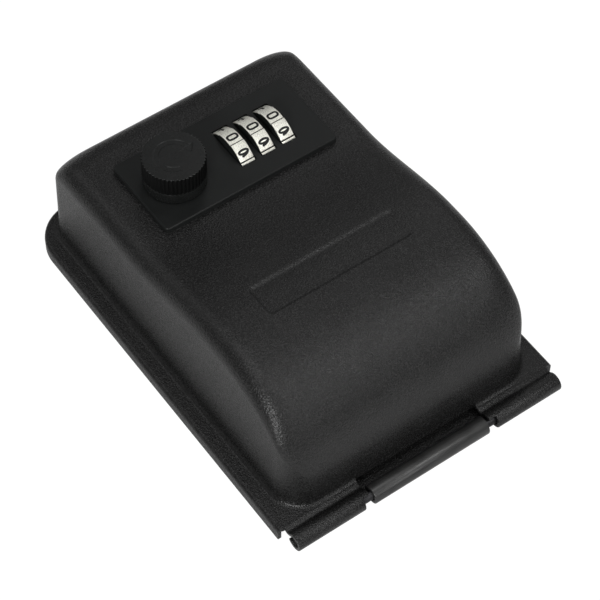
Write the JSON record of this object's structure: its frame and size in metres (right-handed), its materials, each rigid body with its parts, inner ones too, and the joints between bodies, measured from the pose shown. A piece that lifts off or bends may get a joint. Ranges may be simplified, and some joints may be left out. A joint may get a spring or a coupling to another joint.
{
  "type": "wall-mounted key box",
  "caption": "Wall-mounted key box whose hinged sheet-metal door is held shut by a combination cam lock with a turn knob and number wheels.",
  "frame": {"origin": "middle of the box on its wall face", "axes": "+X to the right when facing the door, +Y from the hinge to the lock (up on the wall), +Z out of the wall"},
  "size_m": [0.102, 0.1464, 0.0538],
  "materials": {
    "powder_coat": "satin black powder coat with a fine texture",
    "lock_black": "smooth satin black",
    "knob_black": "satin to glossy black",
    "wheel_metal": "bright plated metal with black numerals",
    "zinc_casting": "dull die-cast zinc",
    "plated_steel": "zinc-plated steel",
    "hinge_steel": "blackened steel pin",
    "brass": "plain brass",
    "spring_steel": "bright spring steel"
  },
  "bodies": {
    "back": {"back_plate": "powder_coat", "hinge_pin": "hinge_steel", "strike_bracket": "plated_steel", "strike_rivets": "plated_steel", "key_hook_strip": "plated_steel", "hook_rivets": "plated_steel"},
    "door": {"door_shell": "powder_coat", "lock_plate": "lock_black", "lock_housing": "zinc_casting", "lock_rear_cover": "plated_steel", "rear_cover_screws": "plated_steel", "lock_screws": "plated_steel", "dial_axle": "plated_steel", "detent_spring": "spring_steel"},
    "knob_set": {"knob": "knob_black", "knob_spindle": "zinc_casting", "latch_cam": "plated_steel", "cam_washer": "plated_steel", "cam_nut": "plated_steel"},
    "wheel_1": {"number_wheel_1": "wheel_metal", "code_sleeve_1": "brass"},
    "wheel_2": {"number_wheel_2": "wheel_metal", "code_sleeve_2": "brass"},
    "wheel_3": {"number_wheel_3": "wheel_metal", "code_sleeve_3": "brass"},
    "fence": {"fence_bar": "plated_steel"},
    "lever": {"change_lever": "brass"}
  },
  "joints": [
    {"name": "door_hinge", "type": "hinge", "parent": "back", "child": "door", "pos_m": [0, -0.0702, 0.003], "axis": [1, 0, 0], "range_deg": [0, 110]},
    {"name": "knob_turn", "type": "hinge", "parent": "door", "child": "knob_set", "pos_m": [-0.0185, 0.0345, 0.05], "axis": [0, 0, 1], "range_deg": [0, 90]},
    {"name": "wheel_1_turn", "type": "hinge", "parent": "door", "child": "wheel_1", "pos_m": [0.0035, 0.035, 0.0359], "axis": [1, 0, 0], "continuous": true},
    {"name": "wheel_2_turn", "type": "hinge", "parent": "door", "child": "wheel_2", "pos_m": [0.011, 0.035, 0.0359], "axis": [1, 0, 0], "continuous": true},
    {"name": "wheel_3_turn", "type": "hinge", "parent": "door", "child": "wheel_3", "pos_m": [0.0185, 0.035, 0.0359], "axis": [1, 0, 0], "continuous": true},
    {"name": "fence_slide", "type": "slide", "parent": "door", "child": "fence", "axis": [0, 0, -1], "range_m": [0, 0.0015]},
    {"name": "change_lever_turn", "type": "hinge", "parent": "door", "child": "lever", "pos_m": [0.012, 0.0405, 0.0175], "axis": [0, 0, -1], "range_deg": [0, 60]}
  ],
  "couplings": [
    {"joint": "knob_turn", "follows": "fence_slide", "rad_per_m": 1047.2}
  ]
}
